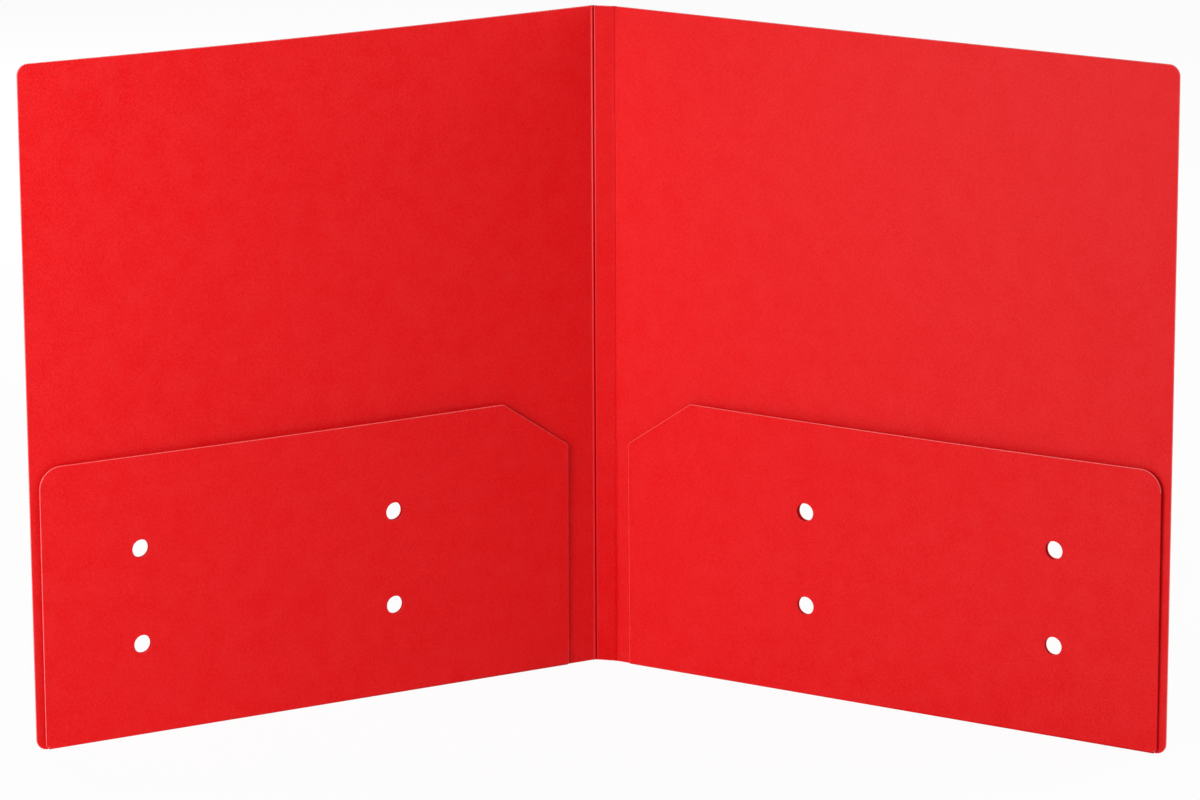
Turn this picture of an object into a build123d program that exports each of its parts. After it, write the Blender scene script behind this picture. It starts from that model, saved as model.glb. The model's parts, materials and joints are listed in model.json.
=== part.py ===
"""Two pocket folder of scored plastic sheet, standing open on its bottom edges.

Units are millimetres and degrees. +Z is up, +X is to the right of a reader who looks into the folder,
and the spine lies at the back, towards +Y. The origin is at the bottom, under the middle of the folder.

Each half is drawn flat, as the sheet is cut: its crease axis stands on the Z axis, the cover runs out along +X
and the inside of the folder faces -Y. The half is then folded to its rest angle at its own crease of the spine,
and the whole folder is turned until both covers stand at the same angle to the reader.
"""

import os

from build123d import *

# Sheet and creases
sheet_thickness = 0.6
crease_radius = 0.45
crease_clearance = 0.05

# Spine, from crease axis to crease axis
spine_width = 10.0

# Covers, from the crease axis to the outer edge
cover_width = 266.7
cover_height = 292.1
cover_corner_radius = 4.8

# Rest pose: how far each cover is folded in from the plane of the spine
front_fold_angle = 43.0
back_fold_angle = 17.0

# Pockets: insets are measured from the crease axis and from the outer edge of the cover
pocket_height = 122.3
pocket_gap = 0.8
front_pocket_inset = 14.2
back_pocket_inset = 7.2
pocket_outer_inset = 3.7
pocket_corner_radius = 9.5
pocket_bevel_width = 32.0
pocket_bevel_height = 22.0
pocket_bevel_corner_radius = 2.5

# Bottom fold that carries a pocket
fold_relief = 0.5
fold_clearance = 0.05

# Punched holes, through pocket and cover: two columns, off the middle of the pocket's width, and two rows
hole_diameter = 7.94
hole_pattern_offset = 19.7
hole_column_spacing = 118.8
hole_row_height = 39.8
hole_row_spacing = 41.8

# Derived: the bottom fold is half a tube whose inside just holds the gap of the pocket
fold_inner_radius = pocket_gap / 2
fold_outer_radius = fold_inner_radius + sheet_thickness
fold_axis_depth = -(sheet_thickness + pocket_gap) / 2
pocket_depth = -(sheet_thickness + pocket_gap)
pocket_outer_edge = cover_width - pocket_outer_inset
fold_outer_end = min(cover_width - cover_corner_radius - fold_relief, pocket_outer_edge)
cover_inner_edge = crease_radius + crease_clearance
spine_turn = (front_fold_angle - back_fold_angle) / 2


def hole_centres(pocket_inset):
    """Places of the four punched holes in the flat half, as (distance from the crease, height) pairs."""
    middle = (pocket_inset + pocket_outer_edge) / 2 + hole_pattern_offset
    columns = [middle - hole_column_spacing / 2, middle + hole_column_spacing / 2]
    rows = [hole_row_height, hole_row_height + hole_row_spacing]
    return [(column, row) for row in rows for column in columns]


def punched(face, pocket_inset):
    """The face with the four holes cut out of it."""
    return face - [Pos(*place) * Circle(hole_diameter / 2) for place in hole_centres(pocket_inset)]


def sheet(face, depth):
    """Sheet of full thickness whose middle lies at this depth, from a face drawn in width and height."""
    return Pos(0, depth, 0) * extrude(Plane.XZ * face, sheet_thickness / 2, both=True)


def cover_panel(pocket_inset):
    """Flat cover: rounded outer corners, the punched holes, and a notch where the pocket folds up."""
    width = cover_width - cover_inner_edge
    outline = Pos(cover_inner_edge, 0) * Rectangle(width, cover_height, align=(Align.MIN, Align.MIN))
    outer_corners = outline.vertices().group_by(Axis.X)[-1]
    outline = fillet(outer_corners, cover_corner_radius)
    notch_start = pocket_inset - fold_relief
    notch_width = fold_outer_end + fold_relief - notch_start
    notch = Pos(notch_start, 0) * Rectangle(notch_width, fold_outer_radius, align=(Align.MIN, Align.MIN))
    return sheet(punched(outline - notch, pocket_inset), 0)


def pocket_fold(pocket_inset):
    """Half a tube along the bottom edge, tangent to the cover behind it and to the pocket in front of it."""
    ring = Circle(fold_outer_radius) - Circle(fold_inner_radius)
    reach = 2 * fold_outer_radius
    lower_half = ring & Rectangle(reach, fold_outer_radius, align=(Align.CENTER, Align.MAX))
    section = Plane.YZ * Pos(fold_axis_depth, fold_outer_radius) * lower_half
    return Pos(pocket_inset, 0, 0) * extrude(section, fold_outer_end - pocket_inset, dir=(1, 0, 0))


def pocket_panel(pocket_inset):
    """Flat pocket flap: bevelled inner top corner with eased ends, rounded outer top corner, punched holes."""
    foot = fold_outer_radius + fold_clearance
    bevel_start = pocket_height - pocket_bevel_height
    bevel_end = pocket_inset + pocket_bevel_width
    outline = make_face(
        Polyline(
            (pocket_inset, foot),
            (pocket_outer_edge, foot),
            (pocket_outer_edge, pocket_height),
            (bevel_end, pocket_height),
            (pocket_inset, bevel_start),
            close=True,
        )
    )
    bevel_corners = [(bevel_end, pocket_height), (pocket_inset, bevel_start)]
    eased = [outline.vertices().sort_by_distance(corner)[0] for corner in bevel_corners]
    outline = fillet(eased, pocket_bevel_corner_radius)
    outer_top = outline.vertices().group_by(Axis.X)[-1].sort_by(Axis.Y)[-1]
    outline = fillet(outer_top, pocket_corner_radius)
    heel_radius = pocket_outer_edge - fold_outer_end
    if heel_radius > 0:
        heel = outline.vertices().group_by(Axis.Y)[0].sort_by(Axis.X)[-1]
        outline = fillet(heel, heel_radius)
    return sheet(punched(outline, pocket_inset), pocket_depth)


def crease():
    """Rounded score along the hinge line, from the bottom edge to the top edge."""
    return Cylinder(crease_radius, cover_height, align=(Align.CENTER, Align.CENTER, Align.MIN))


def spine_panel():
    """Flat strip between the two scores, which its edges just touch."""
    width = spine_width - 2 * crease_radius
    return Box(width, sheet_thickness, cover_height, align=(Align.CENTER, Align.CENTER, Align.MIN))


def back_side(flat):
    """A flat piece of the back half, folded to its rest angle at the right-hand crease."""
    return Pos(spine_width / 2, 0, 0) * Rot(0, 0, -back_fold_angle) * flat


def front_side(flat):
    """A flat piece of the front half, mirrored and folded to its rest angle at the left-hand crease."""
    return Pos(-spine_width / 2, 0, 0) * Rot(0, 0, front_fold_angle) * mirror(flat, about=Plane.YZ)


sides = {"front": (front_side, front_pocket_inset), "back": (back_side, back_pocket_inset)}

pieces = {"spine_panel": spine_panel()}
for side, (place, inset) in sides.items():
    pieces[f"{side}_crease"] = place(crease())
    pieces[f"{side}_cover_panel"] = place(cover_panel(inset))
    pieces[f"{side}_pocket_fold"] = place(pocket_fold(inset))
    pieces[f"{side}_pocket_panel"] = place(pocket_panel(inset))

# The folder is turned to face the reader, and the origin goes under the middle of it
facing = {name: Rot(0, 0, -spine_turn) * piece for name, piece in pieces.items()}
extent = Compound(list(facing.values())).bounding_box()
to_origin = Pos(-extent.center().X, -extent.center().Y, -extent.min.Z)

os.makedirs("parts", exist_ok=True)
for name, piece in facing.items():
    export_step(to_origin * piece, os.path.join("parts", f"{name}.step"))
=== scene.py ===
"""Looks of a two pocket folder: one sheet of embossed red plastic, die-cut, scored, folded and punched.

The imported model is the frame. Every piece takes its place from that model's nodes, joints and mounts, and
is drawn in the local frame of its half of the folder: u runs out from the crease, v is height and w points
to the inside. Lengths are in metres and angles in degrees. +Z is up and the reader stands on the -Y side.
"""

import json
import logging
import math
from collections.abc import Callable, Sequence
from dataclasses import dataclass, field
from enum import Enum

import bmesh
import bpy
import numpy as np
from mathutils import Matrix, Vector
from mathutils.geometry import delaunay_2d_cdt

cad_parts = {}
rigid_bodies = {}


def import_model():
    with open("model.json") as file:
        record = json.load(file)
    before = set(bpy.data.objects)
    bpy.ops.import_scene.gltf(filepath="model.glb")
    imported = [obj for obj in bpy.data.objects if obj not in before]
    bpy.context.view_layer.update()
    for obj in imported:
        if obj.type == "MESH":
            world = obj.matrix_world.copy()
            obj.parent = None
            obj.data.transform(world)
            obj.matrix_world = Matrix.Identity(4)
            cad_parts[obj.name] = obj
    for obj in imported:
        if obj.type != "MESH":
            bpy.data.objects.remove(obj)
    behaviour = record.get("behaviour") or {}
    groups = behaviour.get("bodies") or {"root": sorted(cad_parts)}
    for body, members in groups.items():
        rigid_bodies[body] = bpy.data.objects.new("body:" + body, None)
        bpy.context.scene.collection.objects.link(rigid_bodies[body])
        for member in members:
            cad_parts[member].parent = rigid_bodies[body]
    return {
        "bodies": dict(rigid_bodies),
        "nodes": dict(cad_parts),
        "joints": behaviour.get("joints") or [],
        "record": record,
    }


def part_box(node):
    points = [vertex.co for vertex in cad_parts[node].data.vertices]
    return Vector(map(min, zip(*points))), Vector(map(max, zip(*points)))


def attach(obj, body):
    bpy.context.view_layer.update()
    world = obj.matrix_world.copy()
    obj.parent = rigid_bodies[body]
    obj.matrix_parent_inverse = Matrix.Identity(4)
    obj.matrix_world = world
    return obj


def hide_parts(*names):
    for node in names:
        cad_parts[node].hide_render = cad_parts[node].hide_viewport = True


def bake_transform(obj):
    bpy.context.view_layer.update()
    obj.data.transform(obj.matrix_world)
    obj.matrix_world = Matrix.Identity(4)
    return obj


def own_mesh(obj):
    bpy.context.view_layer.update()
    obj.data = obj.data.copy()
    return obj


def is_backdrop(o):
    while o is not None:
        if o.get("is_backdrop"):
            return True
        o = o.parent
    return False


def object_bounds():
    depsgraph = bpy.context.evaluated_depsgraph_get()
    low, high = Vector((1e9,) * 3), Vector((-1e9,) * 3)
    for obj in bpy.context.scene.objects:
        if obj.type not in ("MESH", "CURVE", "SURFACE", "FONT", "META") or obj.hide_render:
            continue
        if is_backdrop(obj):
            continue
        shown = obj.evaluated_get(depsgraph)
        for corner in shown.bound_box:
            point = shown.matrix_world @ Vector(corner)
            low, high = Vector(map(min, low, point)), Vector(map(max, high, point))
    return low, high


MILLIMETRE = 0.001
# From the foot of the spine to the point that the camera and the lamps face
AIM_OFFSET = Vector((-0.0023, 0.0, 0.1181))
WHITE = (1.0, 1.0, 1.0, 1.0)
# Places of a cut piece's two materials: its faces, and its cut edges, whose paler red is a painted
# highlight
FACE_MATERIAL = 0
EDGE_HIGHLIGHT_MATERIAL = 1
LOG = logging.getLogger("two_pocket_folder")

Point = tuple[float, float]
Colour = tuple[float, float, float]


class Side(Enum):
    """The two halves of the folder, by the names that the frame gives them."""

    FRONT = "front"
    BACK = "back"


class ScoreLine(Enum):
    """A score's face, as control points in millimetres: distance from the crease, height off the sheet.

    The distance is negative on the spine. A sharp fold pushes the sheet up into a ridge beside its groove.
    """

    RIDGE = (
        (-0.95, 0.00),
        (-0.84, 0.08),
        (-0.66, -0.38),
        (-0.28, -0.42),
        (0.26, 0.44),
        (0.60, 0.38),
        (0.78, 0.00),
    )
    GROOVE = ((-0.40, 0.00), (-0.28, 0.02), (-0.10, -0.22), (0.10, -0.22), (0.28, 0.02), (0.40, 0.00))
    OUTSIDE = ((-0.50, 0.00), (-0.14, -0.16), (0.14, -0.16), (0.50, 0.00))


class Slot(Enum):
    """The record's material slots."""

    SHEET = "red_sheet"
    SCORE = "red_score"


class NodeGraph:
    """Short hand for building the nodes of one material or world."""

    def __init__(self, tree: bpy.types.NodeTree) -> None:
        """Starts from an empty tree."""
        self.tree = tree
        tree.nodes.clear()

    def add(self, kind: str, **inputs: object) -> bpy.types.Node:
        """Adds a node and fills its inputs.

        Args:
            kind: the node's type, without its ShaderNode prefix.
            inputs: for each input, by its name with _ for a space, a value or the socket that feeds it.

        Returns:
            The new node.
        """
        node = self.tree.nodes.new("ShaderNode" + kind)
        for name, value in inputs.items():
            socket = node.inputs[name.replace("_", " ")]
            if isinstance(value, bpy.types.NodeSocket):
                self.tree.links.new(value, socket)
            else:
                socket.default_value = value
        return node

    def noise(self, place: bpy.types.NodeSocket, size: float, detail: float) -> bpy.types.NodeSocket:
        """Noise from 0 to 1 whose features are about this size.

        Args:
            place: the coordinates that it is read at.
            size: the features' size.
            detail: how many finer layers it has.

        Returns:
            The noise's value.
        """
        return self.add("TexNoise", Vector=place, Scale=1 / size, Detail=detail).outputs["Fac"]

    def spread(self, value: bpy.types.NodeSocket, low: float, high: float) -> bpy.types.NodeSocket:
        """The middle half of a noise, spread evenly from low to high.

        Args:
            value: the noise.
            low: what its lower quarter gives.
            high: what its upper quarter gives.

        Returns:
            The spread value.
        """
        quarter = 0.25
        node = self.add(
            "MapRange", Value=value, From_Min=quarter, From_Max=1 - quarter, To_Min=low, To_Max=high
        )
        return node.outputs["Result"]

    def shown_rays(self) -> bpy.types.NodeSocket:
        """Tells the rays that show a backdrop: from the camera, off gloss and through glass.

        Returns:
            1 for those rays and 0 for the rest.
        """
        rays = self.add("LightPath").outputs
        total = rays["Is Camera Ray"]
        for name in ("Is Glossy Ray", "Is Transmission Ray"):
            either = self.add("Math")
            either.operation = "MAXIMUM"
            self.tree.links.new(total, either.inputs[0])
            self.tree.links.new(rays[name], either.inputs[1])
            total = either.outputs["Value"]
        return total

    def mix(
        self, share: bpy.types.NodeSocket | float, first: bpy.types.Node, second: bpy.types.Node
    ) -> bpy.types.Node:
        """Mixes two shader nodes.

        Args:
            share: how much of the second shows, from 0 to 1.
            first: the first shader.
            second: the second shader.

        Returns:
            The node that mixes them.
        """
        node = self.add("MixShader", Fac=share)
        self.tree.links.new(first.outputs[0], node.inputs[1])
        self.tree.links.new(second.outputs[0], node.inputs[2])
        return node


@dataclass(frozen=True)
class PlasticFinish:
    """Coloured plastic with clouds and a grain in its colour, an uneven gloss and an embossed surface. The
    spread in red is the plastic's own mottled tone, and where the pale end is pinker that is a painted
    sheen on the grain.
    """

    name: str
    deep_colour: Colour
    pale_colour: Colour
    smoothest: float
    roughest: float
    sheen_level: float = 0.17
    cloud_size: float = 0.009
    cloud_layers: float = 3.0
    grain_size: float = 0.0007
    grain_layers: float = 2.0
    grain_share: float = 0.72
    grain_depth: float = 0.00006
    wave_size: float = 0.030
    wave_layers: float = 1.0
    wave_depth: float = 0.00002
    deep_until: float = 0.35
    pale_from: float = 0.65

    def material(self) -> bpy.types.Material:
        """Mixes the finish.

        Returns:
            A new material.
        """
        made = bpy.data.materials.new(self.name)
        made.use_nodes = True
        graph = NodeGraph(made.node_tree)
        place = graph.add("TexCoord").outputs["Object"]
        clouds = graph.noise(place, self.cloud_size, self.cloud_layers)
        grain = graph.noise(place, self.grain_size, self.grain_layers)
        waves = graph.noise(place, self.wave_size, self.wave_layers)
        mottle_and_sheen = graph.add("Mix", Factor=self.grain_share, A=clouds, B=grain).outputs["Result"]
        colour = graph.add("ValToRGB", Fac=mottle_and_sheen)
        deep, pale = colour.color_ramp.elements
        deep.position, pale.position = self.deep_until, self.pale_from
        deep.color, pale.color = (*self.deep_colour, 1.0), (*self.pale_colour, 1.0)
        swell = graph.add("Bump", Height=waves, Distance=self.wave_depth)
        relief = graph.add("Bump", Height=grain, Distance=self.grain_depth, Normal=swell.outputs["Normal"])
        shader = graph.add(
            "BsdfPrincipled",
            Base_Color=colour.outputs["Color"],
            Roughness=graph.spread(mottle_and_sheen, self.smoothest, self.roughest),
            Specular_IOR_Level=self.sheen_level,
            Normal=relief.outputs["Normal"],
        )
        graph.add("OutputMaterial", Surface=shader.outputs["BSDF"])
        return made


# The red's spread is the sheet's own mottled tone; the green and blue rising to the pale end are painted
# sheen on the embossed grain.
SHEET_FINISH = PlasticFinish(
    name="red_embossed_sheet",
    deep_colour=(0.742, 0.0001, 0.0025),
    pale_colour=(0.783, 0.0150, 0.0170),
    smoothest=0.42,
    roughest=0.56,
)
# A deeper red with less sheen for the spine: painted shade, as the spine lies less lit between the covers.
SPINE_SHADE_FINISH = PlasticFinish(
    name="red_spine_painted_shade",
    deep_colour=(0.692, 0.0001, 0.0022),
    pale_colour=(0.730, 0.0110, 0.0130),
    smoothest=0.44,
    roughest=0.58,
    sheen_level=0.09,
)
# Paler pink for the rolled cut edges: a painted highlight, the light that the edges catch.
EDGE_HIGHLIGHT_FINISH = PlasticFinish(
    name="red_cut_edge_painted_highlight",
    deep_colour=(0.840, 0.100, 0.101),
    pale_colour=(0.900, 0.145, 0.145),
    smoothest=0.22,
    roughest=0.32,
    sheen_level=0.3,
    grain_size=0.0006,
    grain_depth=0.000008,
)
SCORE_FINISH = PlasticFinish(
    name="red_pressed_score",
    deep_colour=(0.735, 0.0040, 0.0090),
    pale_colour=(0.775, 0.0055, 0.0105),
    smoothest=0.30,
    roughest=0.40,
    sheen_level=0.35,
    grain_size=0.0006,
    grain_depth=0.000008,
)
# Dark red for the floor of the front score's groove: painted shade, the darkness that falls deep in the
# pressed groove.
GROOVE_SHADE_FINISH = PlasticFinish(
    name="red_groove_painted_shade",
    deep_colour=(0.360, 0.0006, 0.0024),
    pale_colour=(0.420, 0.0014, 0.0036),
    smoothest=0.42,
    roughest=0.52,
    sheen_level=0.05,
    grain_size=0.0006,
    grain_depth=0.000008,
)


@dataclass(frozen=True)
class LocalFrame:
    """Where a flat blank lies: u runs along it, v is height and w points to the inside of the folder."""

    origin: Vector
    along: Vector
    inward: Vector

    @classmethod
    def facing_reader(cls, origin: Vector, towards: Vector) -> "LocalFrame":
        """A frame whose u axis runs level towards another point.

        Args:
            origin: where it starts.
            towards: the point that u runs to.

        Returns:
            The frame, with w on the reader's side.
        """
        along = (towards - origin).to_2d().to_3d().normalized()
        across = Vector((-along.y, along.x, 0.0))
        return cls(origin, along, across if across.y < 0 else -across)

    def place(self, u: float, v: float, w: float = 0.0) -> Vector:
        """The point of the model at these local coordinates."""
        return self.origin + self.along * u + self.inward * w + Vector((0.0, 0.0, v))

    def locate(self, point: Sequence[float]) -> Vector:
        """The local coordinates of a point of the model."""
        offset = Vector(point) - self.origin
        return Vector((offset.dot(self.along), offset.z, offset.dot(self.inward)))

    def extent(self, node: bpy.types.Object) -> tuple[Vector, Vector]:
        """Lowest and highest local coordinates of a node of the frame."""
        places = [self.locate(vertex.co) for vertex in node.data.vertices]
        return Vector(map(min, zip(*places))), Vector(map(max, zip(*places)))


@dataclass(frozen=True)
class Corner:
    """A corner of a blank's outline.

    The side after it is tucked where it lies inside a neighbouring piece.
    """

    u: float
    v: float
    radius: float = 0.0
    tucked_after: bool = False

    @property
    def place(self) -> Vector:
        """The corner's point."""
        return Vector((self.u, self.v))


@dataclass
class Loop:
    """One closed line of a blank: its cut edge, which points of that are tucked, and a line inside it."""

    edge: list[Point] = field(default_factory=list)
    tucked: list[bool] = field(default_factory=list)
    inner: list[Point] = field(default_factory=list)

    def add(self, point: Vector, tucked: bool) -> None:
        """Adds a point of the edge, unless it repeats the last one.

        Args:
            point: the point.
            tucked: whether it lies inside a neighbouring piece.
        """
        nearest = 1e-8
        if not self.edge or (point - Vector(self.edge[-1])).length > nearest:
            self.edge.append((point.x, point.y))
            self.tucked.append(tucked)

    def inset(self, width: float) -> None:
        """Fills the inner line, to the left of the edge, which is where the sheet is.

        Args:
            width: how far the inner line lies from the edge.
        """
        points = [Vector(p) for p in self.edge]
        for before, here, after in zip(points[-1:] + points[:-1], points, points[1:] + points[:1]):
            arrival, leaving = (here - before).normalized(), (after - here).normalized()
            first, second = Vector((-arrival.y, arrival.x)), Vector((-leaving.y, leaving.x))
            moved = here + (first + second) * (width / (1 + first.dot(second)))
            self.inner.append((moved.x, moved.y))


@dataclass
class Blank:
    """A die-cut blank, meshed as the sheet's middle surface.

    Its outline is drawn anticlockwise and its punched holes clockwise.
    """

    corners: Sequence[Corner]
    holes: Sequence[Point] = ()
    hole_radius: float = 0.0
    mesh_step: float = 0.007
    rim_width: float = 0.0003
    arc_step: float = 7.5
    least_arc_steps: int = 2

    def outline(self) -> Loop:
        """Draws the outline with its corners rounded and its long sides divided.

        Returns:
            The outline, without its inner line.
        """
        loop = Loop()
        count = len(self.corners)
        turns = [
            self._turn(self.corners[k - 1].place, corner, self.corners[(k + 1) % count].place)
            for k, corner in enumerate(self.corners)
        ]
        for k, corner in enumerate(self.corners):
            for point in turns[k]:
                loop.add(point, corner.tucked_after or self.corners[k - 1].tucked_after)
            start, end = turns[k][-1], turns[(k + 1) % count][0]
            parts = max(1, math.ceil((end - start).length / self.mesh_step))
            for part in range(1, parts):
                loop.add(start.lerp(end, part / parts), corner.tucked_after)
        return loop

    def _turn(self, before: Vector, corner: Corner, after: Vector) -> list[Vector]:
        """The points of a corner, as an arc tangent to both its sides where it has a radius.

        Args:
            before: the corner ahead of it on the outline.
            corner: the corner itself.
            after: the corner that follows.

        Returns:
            The points in order.
        """
        here = corner.place
        if not corner.radius:
            return [here]
        back, ahead = (before - here).normalized(), (after - here).normalized()
        opening = back.angle(ahead)
        centre = here + (back + ahead).normalized() * (corner.radius / math.sin(opening / 2))
        start = here + back * (corner.radius / math.tan(opening / 2)) - centre
        turned = math.copysign(math.pi - opening, -back.x * ahead.y + back.y * ahead.x)
        steps = max(self.least_arc_steps, math.ceil(math.degrees(abs(turned)) / self.arc_step))
        return [centre + Matrix.Rotation(turned * step / steps, 2) @ start for step in range(steps + 1)]

    def _hole(self, u: float, v: float) -> Loop:
        """Draws the edge of one punched hole.

        Args:
            u: how far its centre is from the crease.
            v: how high its centre is.

        Returns:
            The edge, without its inner line.
        """
        loop = Loop()
        sides = round(360 / self.arc_step)
        for side in range(sides):
            angle = -math.tau * side / sides
            loop.add(Vector((u, v)) + Vector((math.cos(angle), math.sin(angle))) * self.hole_radius, False)
        return loop

    def loops(self) -> list[Loop]:
        """Draws every closed line of the blank.

        Returns:
            The outline and the holes, each with its inner line.
        """
        found = [self.outline()] + [self._hole(u, v) for u, v in self.holes]
        for loop in found:
            loop.inset(self.rim_width)
        return found

    @staticmethod
    def _covered(points: np.ndarray, starts: np.ndarray, runs: np.ndarray) -> np.ndarray:
        """Which points lie on the sheet, by counting the lines that a level ray from each of them crosses.

        Args:
            points: the points, one in each row.
            starts: where the lines round the sheet and its holes start.
            runs: how far each line goes.

        Returns:
            True for each point that the sheet covers.
        """
        below = starts[:, 1] <= points[:, None, 1]
        crossed = below != (starts[:, 1] + runs[:, 1] <= points[:, None, 1])
        slopes = runs[:, 0] / np.where(runs[:, 1] == 0, np.inf, runs[:, 1])
        places = starts[:, 0] + slopes * (points[:, None, 1] - starts[:, 1])
        return (crossed & (places > points[:, None, 0])).sum(axis=1) % 2 == 1

    def _grid(self, starts: np.ndarray, runs: np.ndarray) -> np.ndarray:
        """Points of a square grid that lie on the sheet and not close to a cut edge.

        Args:
            starts: where the lines round the sheet and its holes start.
            runs: how far each line goes.

        Returns:
            The points, one in each row.
        """
        low, high = starts.min(axis=0), starts.max(axis=0)
        counts = np.maximum(np.round((high - low) / self.mesh_step).astype(int), 1)
        columns, rows = (np.linspace(low[k], high[k], counts[k] + 1)[1:-1] for k in (0, 1))
        grid = np.array([(u, v) for v in rows for u in columns]).reshape(-1, 2)
        offsets = grid[:, None] - starts
        shares = np.clip((offsets * runs).sum(-1) / (runs**2).sum(-1), 0, 1)
        gaps = np.linalg.norm(offsets - shares[..., None] * runs, axis=-1).min(axis=1)
        return grid[(gaps > self.mesh_step / 2) & self._covered(grid, starts, runs)]

    def mesh(self, name: str, shape: Callable[[float, float], Vector]) -> tuple[bpy.types.Mesh, list[int]]:
        """The blank's middle surface, set in the model.

        Args:
            name: the mesh's name.
            shape: gives the point of the model for a point (u, v) of the blank.

        Returns:
            The mesh, and the numbers of its tucked vertices.
        """
        loops = self.loops()
        lines: list[tuple[int, int]] = []
        firsts: list[int] = []
        for loop in loops:
            first, count = len(lines), len(loop.inner)
            firsts.append(first)
            lines += [(first + k, first + (k + 1) % count) for k in range(count)]
        starts = np.array([point for loop in loops for point in loop.inner])
        runs = starts[[after for _, after in lines]] - starts
        coords = [Vector(p) for p in np.concatenate([starts, self._grid(starts, runs)])]
        triangles_inside, nearest, sliver = 1, 1e-7, 1e-10
        flat, _, faces, origins, _, _ = delaunay_2d_cdt(coords, lines, [], triangles_inside, nearest)
        shapes = np.array([[flat[k] for k in face] for face in faces])
        sides = shapes[:, 1:] - shapes[:, :1]
        areas = np.abs(sides[:, 0, 0] * sides[:, 1, 1] - sides[:, 0, 1] * sides[:, 1, 0]) / 2
        kept = self._covered(shapes.mean(axis=1), starts, runs) & (areas > sliver)
        number = {origin: made for made, found in enumerate(origins) for origin in found}
        points = [shape(p.x, p.y) for p in flat]
        polygons = [list(face) for face, keep in zip(faces, kept) if keep]
        tucked: list[int] = []
        for first, loop in zip(firsts, loops):
            base, count = len(points), len(loop.edge)
            points += [shape(u, v) for u, v in loop.edge]
            tucked += [base + k for k in range(count) if loop.tucked[k]]
            for k in range(count):
                after = (k + 1) % count
                polygons.append([base + k, base + after, number[first + after], number[first + k]])
        made = bpy.data.meshes.new(name)
        made.from_pydata(points, [], polygons)
        made.validate()
        return made, tucked


def solid_through(name: str, rows: Sequence[Sequence[Vector]], sharp_angle: float) -> bpy.types.Mesh:
    """A closed solid through rows of points, each row going round the same section.

    Args:
        name: the mesh's name.
        rows: the rows from one end to the other.
        sharp_angle: edges that turn by more than this stay sharp.

    Returns:
        The mesh.
    """
    count = len(rows[0])
    shape = bmesh.new()
    made_rows = [[shape.verts.new(point) for point in row] for row in rows]
    for low, high in zip(made_rows, made_rows[1:]):
        for k in range(count):
            after = (k + 1) % count
            shape.faces.new((low[k], low[after], high[after], high[k]))
    shape.faces.new(made_rows[0])
    shape.faces.new(made_rows[-1])
    bmesh.ops.recalc_face_normals(shape, faces=shape.faces)
    mesh = bpy.data.meshes.new(name)
    shape.to_mesh(mesh)
    shape.free()
    mesh.shade_smooth()
    mesh.set_sharp_from_angle(angle=math.radians(sharp_angle))
    return mesh


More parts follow.
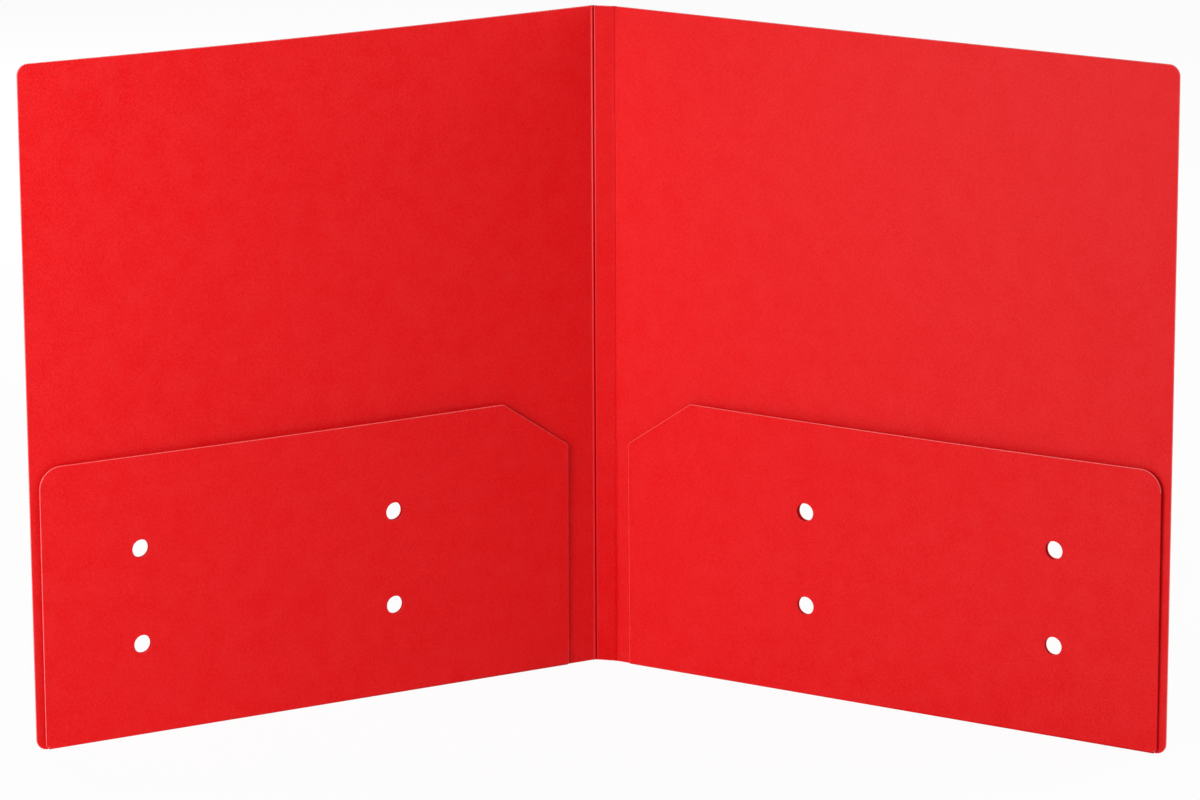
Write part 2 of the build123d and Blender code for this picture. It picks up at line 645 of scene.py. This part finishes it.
@dataclass
class SheetStock:
    """The sheet that the blanks are cut from: its thickness, the roll of its cut edges and its finishes."""

    thickness: float
    sheet: bpy.types.Material
    # spine: the spine's deeper red, painted shade.
    spine: bpy.types.Material
    # edge: the cut edges' paler red, a painted highlight.
    edge: bpy.types.Material
    score: bpy.types.Material
    # groove: the groove floor's dark red, painted shade.
    groove: bpy.types.Material
    tuck: float = 0.00025
    tucked_share: float = 0.85
    edge_radius: float = 0.00025
    edge_steps: int = 3
    sharp_angle: float = 50.0

    def cut_piece(
        self, name: str, blank: Blank, shape: Callable[[float, float], Vector], finish: bpy.types.Material
    ) -> bpy.types.Object:
        """A blank at full thickness, with rolled edges.

        Args:
            name: the piece's name.
            blank: what is cut out of the sheet.
            shape: gives the point of the model for a point (u, v) of the blank.
            finish: the finish of its two faces.

        Returns:
            The new object.
        """
        mesh, tucked = blank.mesh(name, shape)
        mesh.shade_smooth()
        made = self._object(name, mesh, finish)
        mesh.materials.append(self.edge)
        group = made.vertex_groups.new(name="thickness")
        group.add(range(len(mesh.vertices)), 1.0, "REPLACE")
        group.add(tucked, self.tucked_share, "REPLACE")
        solid = made.modifiers.new("thickness", "SOLIDIFY")
        solid.thickness = self.thickness
        solid.offset = 0.0
        solid.use_even_offset = True
        # The rims and rolled edges take the paler red that paints their highlight.
        solid.material_offset_rim = EDGE_HIGHLIGHT_MATERIAL
        solid.vertex_group = group.name
        roll = made.modifiers.new("rolled_edges", "BEVEL")
        roll.width = self.edge_radius
        roll.segments = self.edge_steps
        roll.limit_method = "ANGLE"
        roll.angle_limit = math.radians(self.sharp_angle)
        roll.use_clamp_overlap = False
        roll.material = EDGE_HIGHLIGHT_MATERIAL
        made.modifiers.new("flat_faces", "WEIGHTED_NORMAL")
        self._punched_rims(made, blank, shape)
        return made

    def _punched_rims(
        self, made: bpy.types.Object, blank: Blank, shape: Callable[[float, float], Vector]
    ) -> None:
        """Applies a piece's modifiers and gives the rims of its punched holes the sheet's finish, without
        the painted edge highlight.

        Args:
            made: the piece.
            blank: what was cut out of the sheet.
            shape: gives the point of the model for a point (u, v) of the blank.
        """
        depsgraph = bpy.context.evaluated_depsgraph_get()
        made.data = bpy.data.meshes.new_from_object(made.evaluated_get(depsgraph), depsgraph=depsgraph)
        made.modifiers.clear()
        centres = [shape(u, v) for u, v in blank.holes]
        reach = blank.hole_radius + blank.rim_width
        for polygon in made.data.polygons:
            if any((polygon.center - centre).length < reach for centre in centres):
                polygon.material_index = FACE_MATERIAL

    def folded_strip(self, name: str, rows: Sequence[Sequence[Vector]]) -> bpy.types.Object:
        """A solid strip of the plain sheet, through rows that each go round the same section."""
        return self._object(name, solid_through(name, rows, self.sharp_angle), self.sheet)

    def scored_strip(
        self,
        name: str,
        rows: Sequence[Sequence[Vector]],
        finish: bpy.types.Material,
        shaded_sides: Sequence[int],
        shade_finish: bpy.types.Material,
    ) -> bpy.types.Object:
        """A solid strip that a score is pressed into.

        Args:
            name: the piece's name.
            rows: the rows from one end to the other, each going round the same section.
            finish: the finish of its sides.
            shaded_sides: which sides of the section take another finish, as painted shade.
            shade_finish: the darker finish that paints shade into those sides.

        Returns:
            The new object.
        """
        made = self._object(name, solid_through(name, rows, self.sharp_angle), finish)
        made.data.materials.append(shade_finish)
        for polygon in made.data.polygons:
            polygon.material_index = int(polygon.index % len(rows[0]) in shaded_sides)
        return made

    def _object(self, name: str, mesh: bpy.types.Mesh, finish: bpy.types.Material) -> bpy.types.Object:
        """Puts a mesh in the scene.

        Args:
            name: the new object's name.
            mesh: its mesh, with no material yet.
            finish: its first material.

        Returns:
            The new object.
        """
        mesh.materials.append(finish)
        made = bpy.data.objects.new(name, mesh)
        bpy.context.scene.collection.objects.link(made)
        return made


@dataclass(frozen=True)
class HalfSizes:
    """What the frame says about one half of the folder, in that half's local frame."""

    width: float
    height: float
    thickness: float
    fold_start: float
    fold_end: float
    fold_top: float
    pocket_edge: float
    pocket_height: float
    pocket_depth: float
    hole_radius: float
    holes: tuple[Point, ...]

    @classmethod
    def measured(cls, side: Side, frame: dict, local: LocalFrame) -> "HalfSizes":
        """Reads the sizes off the nodes and mounts.

        Args:
            side: which half.
            frame: the loaded frame.
            local: the half's local frame.

        Returns:
            The sizes.
        """
        cover_low, cover_high = local.extent(frame["nodes"][f"{side.value}_cover_panel"])
        fold_low, fold_high = local.extent(frame["nodes"][f"{side.value}_pocket_fold"])
        pocket_low, pocket_high = local.extent(frame["nodes"][f"{side.value}_pocket_panel"])
        bores = [
            mount
            for mount in frame["record"]["mounts"]
            if mount["kind"] == "bore" and mount["name"].startswith(side.value)
        ]
        return cls(
            width=cover_high.x,
            height=cover_high.y,
            thickness=cover_high.z - cover_low.z,
            fold_start=fold_low.x,
            fold_end=fold_high.x,
            fold_top=fold_high.y,
            pocket_edge=pocket_high.x,
            pocket_height=pocket_high.y,
            pocket_depth=(pocket_low.z + pocket_high.z) / 2,
            hole_radius=bores[0]["dims"]["r_mm"] * MILLIMETRE,
            holes=tuple(tuple(local.locate(bore["pos_m"]).to_2d()) for bore in bores),
        )


@dataclass
class Cover:
    """A cover, with rounded outer corners, punched holes and a notch where the pocket folds up.

    It bows a little towards the reader.
    """

    side: Side
    local: LocalFrame
    sizes: HalfSizes
    bow: float
    score_reach: float
    corner_radius: float = 0.0048
    notch_relief: float = 0.00005
    bow_start_share: float = 0.45
    bow_power: float = 1.5

    def blank(self, tuck: float) -> Blank:
        """The cover's blank.

        Args:
            tuck: how far it reaches into the score and the bottom fold.

        Returns:
            The blank.
        """
        sizes, inner = self.sizes, self.score_reach - tuck
        corners = [
            Corner(inner, 0.0),
            Corner(sizes.fold_start - self.notch_relief, 0.0),
            Corner(sizes.fold_start - self.notch_relief, sizes.fold_top - tuck, tucked_after=True),
            Corner(sizes.fold_end + self.notch_relief, sizes.fold_top - tuck),
            Corner(sizes.fold_end + self.notch_relief, 0.0),
            Corner(sizes.width, 0.0, self.corner_radius),
            Corner(sizes.width, sizes.height, self.corner_radius),
            Corner(inner, sizes.height, tucked_after=True),
        ]
        return Blank(corners, sizes.holes, sizes.hole_radius)

    def shape(self, u: float, v: float) -> Vector:
        """The cover's middle surface, which leans in along the middle of its top edge.

        Args:
            u: how far a point is from the crease.
            v: how high it is.

        Returns:
            The point's place in the model.
        """
        start = self.bow_start_share * self.sizes.height
        rise = max(0.0, (v - start) / (self.sizes.height - start)) ** self.bow_power
        return self.local.place(u, v, self.bow * rise * math.sin(math.pi * min(1.0, u / self.sizes.width)))

    def build(self, stock: SheetStock) -> bpy.types.Object:
        """Makes the cover, which moves with its body.

        Args:
            stock: the sheet that it is made of.

        Returns:
            The new piece.
        """
        blank = self.blank(stock.tuck)
        piece = stock.cut_piece(f"{self.side.value}_cover_sheet", blank, self.shape, stock.sheet)
        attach(piece, f"{self.side.value}_cover")
        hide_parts(f"{self.side.value}_cover_panel")
        return piece


@dataclass
class Pocket:
    """A pocket flap, with a bevelled inner top corner, a rounded outer one and punched holes.

    It leans off the cover, and its mouth gapes.
    """

    side: Side
    local: LocalFrame
    sizes: HalfSizes
    gape: float
    lift: float = 0.0009
    corner_radius: float = 0.0095
    bevel_width: float = 0.032
    bevel_height: float = 0.022
    bevel_radius: float = 0.0025
    lift_power: float = 1.3
    gape_power: float = 4.0
    gape_kept: float = 0.05
    plain_outer_edge: bool = False

    def blank(self, tuck: float) -> Blank:
        """The pocket's blank.

        Args:
            tuck: how far it reaches into the bottom fold.

        Returns:
            The blank.
        """
        sizes = self.sizes
        corners = [
            Corner(sizes.fold_start, sizes.fold_top - tuck, tucked_after=True),
            Corner(sizes.fold_end, sizes.fold_top - tuck),
            Corner(sizes.fold_end, sizes.fold_top),
            Corner(sizes.pocket_edge, sizes.fold_top, sizes.pocket_edge - sizes.fold_end),
            Corner(sizes.pocket_edge, sizes.pocket_height, self.corner_radius),
            Corner(sizes.fold_start + self.bevel_width, sizes.pocket_height, self.bevel_radius),
            Corner(sizes.fold_start, sizes.pocket_height - self.bevel_height, self.bevel_radius),
        ]
        return Blank(corners, sizes.holes, sizes.hole_radius)

    def shape(self, u: float, v: float) -> Vector:
        """The pocket's middle surface, which gapes most along the middle of its mouth.

        Args:
            u: how far a point is from the crease.
            v: how high it is.

        Returns:
            The point's place in the model.
        """
        sizes = self.sizes
        across = (u - sizes.fold_start) / (sizes.pocket_edge - sizes.fold_start)
        rise = max(0.0, (v - sizes.fold_top) / (sizes.pocket_height - sizes.fold_top))
        swell = math.sin(math.pi * min(1.0, max(0.0, across))) * rise**self.gape_power
        lean = self.lift * rise**self.lift_power
        return self.local.place(u, v, sizes.pocket_depth + lean + self.gape * swell)

    def _finish_outer_edge(self, piece: bpy.types.Object, width: float) -> None:
        """Gives the upright cut edge away from the spine the finish of the faces, without the painted edge
        highlight, as this edge is turned from the light.

        Args:
            piece: the pocket.
            width: how far the cut edge reaches into the sheet.
        """
        edge, top = self.sizes.pocket_edge - width, self.sizes.pocket_height - self.corner_radius
        for polygon in piece.data.polygons:
            u, v, _ = self.local.locate(polygon.center)
            if u > edge and v < top:
                polygon.material_index = FACE_MATERIAL

    def build(self, stock: SheetStock) -> bpy.types.Object:
        """Makes the pocket, which moves with its body.

        Args:
            stock: the sheet that it is made of.

        Returns:
            The new piece.
        """
        blank = self.blank(stock.tuck)
        piece = stock.cut_piece(f"{self.side.value}_pocket_sheet", blank, self.shape, stock.sheet)
        if self.plain_outer_edge:
            self._finish_outer_edge(piece, blank.rim_width)
        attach(piece, f"{self.side.value}_pocket")
        tuple(self.local.inward)
        tuple(
                self.local.place(self.sizes.fold_start, self.sizes.fold_top, self.sizes.pocket_depth)
            )
        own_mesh(piece)
        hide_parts(f"{self.side.value}_pocket_panel")
        return piece


@dataclass
class BottomFold:
    """The rounded fold that carries a pocket: half a tube, tangent to the cover and to the pocket."""

    side: Side
    local: LocalFrame
    sizes: HalfSizes
    end_roll: float = 0.00012
    arc_steps: int = 16

    def section(self, u: float, trim: float) -> list[Vector]:
        """The fold's section at one place along it.

        Args:
            u: the place.
            trim: how much is rolled off each face there.

        Returns:
            The points round it.
        """
        top, middle = self.sizes.fold_top, self.sizes.pocket_depth / 2
        half = self.sizes.thickness / 2 - trim
        angles = [math.pi * k / self.arc_steps for k in range(self.arc_steps + 1)]
        outer = [(middle + half, angle) for angle in angles]
        inner = [(middle - half, angle) for angle in reversed(angles)]
        return [
            self.local.place(u, top - radius * math.sin(angle), middle - radius * math.cos(angle))
            for radius, angle in outer + inner
        ]

    def build(self, stock: SheetStock) -> bpy.types.Object:
        """Makes the fold between the cover and the pocket.

        Args:
            stock: the sheet that it is made of.

        Returns:
            The new piece.
        """
        sizes, roll = self.sizes, self.end_roll
        rows = [
            self.section(sizes.fold_start, roll),
            self.section(sizes.fold_start + roll, 0.0),
            self.section(sizes.fold_end - roll, 0.0),
            self.section(sizes.fold_end, roll),
        ]
        piece = stock.folded_strip(f"{self.side.value}_bottom_fold", rows)
        tuple(self.local.place(sizes.fold_start, sizes.fold_top))
        tuple(self.local.place(sizes.fold_start, sizes.fold_top, sizes.pocket_depth))
        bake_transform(piece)
        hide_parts(f"{self.side.value}_pocket_fold")
        return piece


@dataclass
class Score:
    """The pressed living hinge between the spine and a cover, as a strip at the fold."""

    side: Side
    spine_arm: LocalFrame
    cover_arm: LocalFrame
    height: float
    inside: ScoreLine
    reach: float
    bend_reach: float = 0.0006
    end_share: float = 0.4
    painted_shade_depth: float = 0.00025
    arc_steps: int = 5

    def controls(self, line: ScoreLine) -> list[Vector]:
        """A face's control points in metres, as distance and height, out to both ends of the strip."""
        ends = Vector((-self.reach, 0.0)), Vector((self.reach, 0.0))
        return [ends[0], *(Vector(point) * MILLIMETRE for point in line.value), ends[1]]

    def rounded(self, controls: Sequence[Vector]) -> list[Vector]:
        """Draws a smooth line from the first control point to the last, which the others round.

        Args:
            controls: the control points in order.

        Returns:
            The points of the line.
        """
        points = [controls[0]]
        for before, here, after in zip(controls, controls[1:], controls[2:]):
            start, end = (before + here) / 2, (here + after) / 2
            for step in range(self.arc_steps):
                passed = step / self.arc_steps
                left = 1 - passed
                points.append(start * left**2 + here * (2 * passed * left) + end * passed**2)
        return [*points, end, controls[-1]]

    def face(self, line: ScoreLine, half: float, share: float) -> list[Vector]:
        """One face of the strip's level section, from the spine to the cover, measured from the crease.

        Args:
            line: the face's control points.
            half: half the sheet's thickness, negative for the outside.
            share: how much of the full thickness is left at this section.

        Returns:
            The points of the face.
        """
        bent = []
        for distance, height in self.controls(line):
            arm = self.spine_arm if distance < 0 else self.cover_arm
            rise = share * (half + math.copysign(height, half * height))
            bent.append(arm.place(abs(distance), 0.0, rise) - arm.origin)
        return self.rounded(bent)

    def shaded_groove_sides(self) -> list[int]:
        """The sides of the inside face, counted from the spine, that lie deep in its groove and take the
        painted shade.
        """
        heights = [point.y for point in self.rounded(self.controls(self.inside))]
        return [k for k, pair in enumerate(zip(heights, heights[1:])) if sum(pair) / 2 < -self.painted_shade_depth]

    def spine_shaded_sides(self) -> list[int]:
        """The sides of the inside face, counted from the spine, that lie on the spine and take its painted
        shade.
        """
        places = [point.x for point in self.rounded(self.controls(self.inside))]
        return [k for k, pair in enumerate(zip(places, places[1:])) if sum(pair) < 0]

    def build(self, stock: SheetStock) -> bpy.types.Object:
        """Makes the strip between the spine and the cover.

        Args:
            stock: the sheet that it is made of.

        Returns:
            The new piece.
        """
        half, roll = stock.thickness / 2, stock.edge_radius
        rows = []
        for level, share in (
            (0.0, self.end_share),
            (roll, 1.0),
            (self.height - roll, 1.0),
            (self.height, self.end_share),
        ):
            outside = self.face(ScoreLine.OUTSIDE, -half, share)
            section = self.face(self.inside, half, share) + outside[::-1]
            rows.append([self.cover_arm.place(0.0, level) + point for point in section])
        name = f"{self.side.value}_score"
        # The ridge's groove floor takes the dark finish as painted shade; on the back score the part on the
        # spine takes the spine's deeper red, also painted shade.
        if self.inside is ScoreLine.RIDGE:
            piece = stock.scored_strip(name, rows, stock.score, self.shaded_groove_sides(), stock.groove)
        else:
            piece = stock.scored_strip(name, rows, stock.sheet, self.spine_shaded_sides(), stock.spine)
        tuple(self.spine_arm.place(self.bend_reach, 0.0))
        tuple(self.cover_arm.place(self.bend_reach, 0.0))
        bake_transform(piece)
        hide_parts(f"{self.side.value}_crease")
        return piece


@dataclass
class Spine:
    """The narrow strip between the two scores."""

    local: LocalFrame
    half_width: float
    height: float
    score_reach: float

    def build(self, stock: SheetStock) -> bpy.types.Object:
        """Makes the spine, which moves with its body.

        Args:
            stock: the sheet that it is made of.

        Returns:
            The new piece.
        """
        edge = self.half_width - self.score_reach + stock.tuck
        corners = [
            Corner(-edge, 0.0),
            Corner(edge, 0.0, tucked_after=True),
            Corner(edge, self.height),
            Corner(-edge, self.height, tucked_after=True),
        ]
        # The spine takes the deeper red that paints its shade.
        piece = stock.cut_piece("spine_strip", Blank(corners), self.local.place, stock.spine)
        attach(piece, "spine")
        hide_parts("spine_panel")
        return piece


@dataclass
class Folder:
    """The whole folder: the spine and, on each side of it, a score, a cover, a bottom fold and a pocket."""

    frame: dict
    score_reach: float = 0.0012
    cover_bows: dict[Side, float] = field(
        default_factory=lambda: {Side.FRONT: 0.0045, Side.BACK: 0.001}
    )
    pocket_gapes: dict[Side, float] = field(
        default_factory=lambda: {Side.FRONT: 0.0017, Side.BACK: 0.0026}
    )
    score_lines: dict[Side, ScoreLine] = field(
        default_factory=lambda: {Side.FRONT: ScoreLine.RIDGE, Side.BACK: ScoreLine.GROOVE}
    )

    def crease(self, side: Side) -> Vector:
        """The bottom end of a crease."""
        name, joints = f"{side.value}_cover_fold", self.frame["record"]["behaviour"]["joints"]
        return Vector(next(joint["pos_m"] for joint in joints if joint["name"] == name))

    def spine_frame(self) -> LocalFrame:
        """The spine's local frame, at the middle of the spine with u towards the back cover."""
        front, back = self.crease(Side.FRONT), self.crease(Side.BACK)
        return LocalFrame.facing_reader((front + back) / 2, back)

    def half_frame(self, side: Side) -> LocalFrame:
        """The local frame of one half, at its crease with u along its cover."""
        low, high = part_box(f"{side.value}_cover_panel")
        return LocalFrame.facing_reader(self.crease(side), (Vector(low) + Vector(high)) / 2)

    def pocket(self, side: Side, local: LocalFrame, sizes: HalfSizes) -> Pocket:
        """The pocket of one half. The back one's outer edge is turned from the light and goes without the
        painted edge highlight.
        """
        return Pocket(side, local, sizes, self.pocket_gapes[side], plain_outer_edge=side is Side.BACK)

    def build(self) -> list[bpy.types.Object]:
        """Makes every piece of the folder.

        Returns:
            The pieces.
        """
        spine = self.spine_frame()
        halves = {side: self.half_frame(side) for side in Side}
        sizes = {side: HalfSizes.measured(side, self.frame, halves[side]) for side in Side}
        finishes = SHEET_FINISH, SPINE_SHADE_FINISH, EDGE_HIGHLIGHT_FINISH, SCORE_FINISH, GROOVE_SHADE_FINISH
        stock = SheetStock(sizes[Side.FRONT].thickness, *(finish.material() for finish in finishes))
        half_width = (self.crease(Side.BACK) - spine.origin).length
        pieces = [Spine(spine, half_width, sizes[Side.FRONT].height, self.score_reach).build(stock)]
        for side, local in halves.items():
            towards_spine = spine.along if side is Side.FRONT else -spine.along
            spine_arm = LocalFrame(local.origin, towards_spine, spine.inward)
            line = self.score_lines[side]
            pieces += [
                Score(side, spine_arm, local, sizes[side].height, line, self.score_reach).build(stock),
                Cover(side, local, sizes[side], self.cover_bows[side], self.score_reach).build(stock),
                BottomFold(side, local, sizes[side]).build(stock),
                self.pocket(side, local, sizes[side]).build(stock),
            ]
        return pieces


@dataclass(frozen=True)
class Softbox:
    """A square soft lamp that faces the folder.

    Azimuth 0 is on the reader's side and grows to the reader's right.
    """

    name: str
    azimuth: float
    elevation: float
    power: float
    distance: float = 1.5
    size: float = 0.75

    def build(self, aim: Vector) -> bpy.types.Object:
        """Makes the lamp.

        Args:
            aim: the point that it is turned to.

        Returns:
            The new object.
        """
        lamp = bpy.data.lights.new(self.name, "AREA")
        lamp.shape = "SQUARE"
        lamp.size = self.size
        lamp.energy = self.power
        made = bpy.data.objects.new(self.name, lamp)
        bearing, rise = math.radians(self.azimuth), math.radians(self.elevation)
        away = Vector(
            (math.sin(bearing) * math.cos(rise), -math.cos(bearing) * math.cos(rise), math.sin(rise))
        )
        made.location = aim + away * self.distance
        made.rotation_euler = away.to_track_quat("Z", "Y").to_euler()
        bpy.context.scene.collection.objects.link(made)
        return made


@dataclass
class Studio:
    """A pale floor, a white surround, soft lamps and the camera."""

    aim: Vector
    floor_level: float
    floor_size: float = 8.0
    floor_tone: float = 0.85
    floor_shadow_share: float = 0.05
    surround_light: float = 0.1
    lens: float = 172.0
    sensor: float = 36.0
    azimuth: float = -1.268
    elevation: float = 14.292
    roll: float = -0.259
    distance: float = 2.4937
    lamps: tuple[Softbox, ...] = (
        Softbox("key_softbox", azimuth=-32.0, elevation=22.0, power=10.0, size=0.6),
        Softbox("near_softbox", azimuth=-40.0, elevation=10.0, power=1.0, distance=0.7, size=0.3),
        Softbox("front_softbox", azimuth=-5.0, elevation=20.0, power=1.9),
        Softbox("right_softbox", azimuth=70.0, elevation=25.0, power=5.6),
        Softbox("rear_left_softbox", azimuth=-150.0, elevation=20.0, power=10.0),
        Softbox("rear_right_softbox", azimuth=112.0, elevation=20.0, power=10.0),
    )

    def build(self) -> None:
        """Makes the studio."""
        self._floor()
        self._surround()
        self._camera()
        for lamp in self.lamps:
            lamp.build(self.aim)
        bpy.context.scene.view_settings.view_transform = "Standard"

    def _floor(self) -> None:
        """The floor: white to the eye but for a faint shadow, and matt to the light."""
        reach = self.floor_size / 2
        corners = [(-reach, -reach), (reach, -reach), (reach, reach), (-reach, reach)]
        mesh = bpy.data.meshes.new("studio_floor")
        mesh.from_pydata([(x, y, self.floor_level) for x, y in corners], [], [(0, 1, 2, 3)])
        finish = bpy.data.materials.new("pale_floor")
        finish.use_nodes = True
        graph = NodeGraph(finish.node_tree)
        tone = (self.floor_tone, self.floor_tone, self.floor_tone, 1.0)
        matt = graph.add("BsdfDiffuse", Color=tone)
        white = graph.add("Emission", Color=WHITE, Strength=1.0)
        seen = graph.mix(self.floor_shadow_share, white, matt)
        surface = graph.mix(graph.shown_rays(), matt, seen)
        graph.add("OutputMaterial", Surface=surface.outputs[0])
        mesh.materials.append(finish)
        floor = bpy.data.objects.new("studio_floor", mesh)
        bpy.context.scene.collection.objects.link(floor)
        floor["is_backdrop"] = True

    def _surround(self) -> None:
        """The surround: white to the eye, and a dim even light."""
        world = bpy.data.worlds.new("studio_surround")
        world.use_nodes = True
        graph = NodeGraph(world.node_tree)
        light = graph.add("Background", Color=WHITE, Strength=self.surround_light)
        white = graph.add("Background", Color=WHITE, Strength=1.0)
        graph.add("OutputWorld", Surface=graph.mix(graph.shown_rays(), light, white).outputs[0])
        bpy.context.scene.world = world

    def _camera(self) -> None:
        """The camera, at the photograph's viewing angle."""
        lens = bpy.data.cameras.new("camera")
        lens.lens, lens.sensor_width = self.lens, self.sensor
        made = bpy.data.objects.new("camera", lens)
        turn = (
            Matrix.Rotation(math.radians(-self.azimuth), 4, "Z")
            @ Matrix.Rotation(math.radians(90.0 - self.elevation), 4, "X")
            @ Matrix.Rotation(math.radians(self.roll), 4, "Z")
        )
        backwards = turn.to_3x3() @ Vector((0.0, 0.0, 1.0))
        made.matrix_world = Matrix.Translation(self.aim + backwards * self.distance) @ turn
        bpy.context.scene.collection.objects.link(made)
        bpy.context.scene.camera = made


def plain(box: Sequence[Sequence[float]]) -> list[list[float]]:
    """A box as plain lists of numbers."""
    return [[float(value) for value in corner] for corner in box]


def main() -> None:
    logging.basicConfig(level=logging.INFO, format="%(message)s")
    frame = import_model()
    cad_box = plain(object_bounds())
    folder = Folder(frame)
    for piece in folder.build():
        LOG.info("%s: %d points", piece.name, len(piece.data.vertices))
    Studio(folder.spine_frame().origin + AIM_OFFSET, cad_box[0][2]).build()


if __name__ == "__main__":
    main()
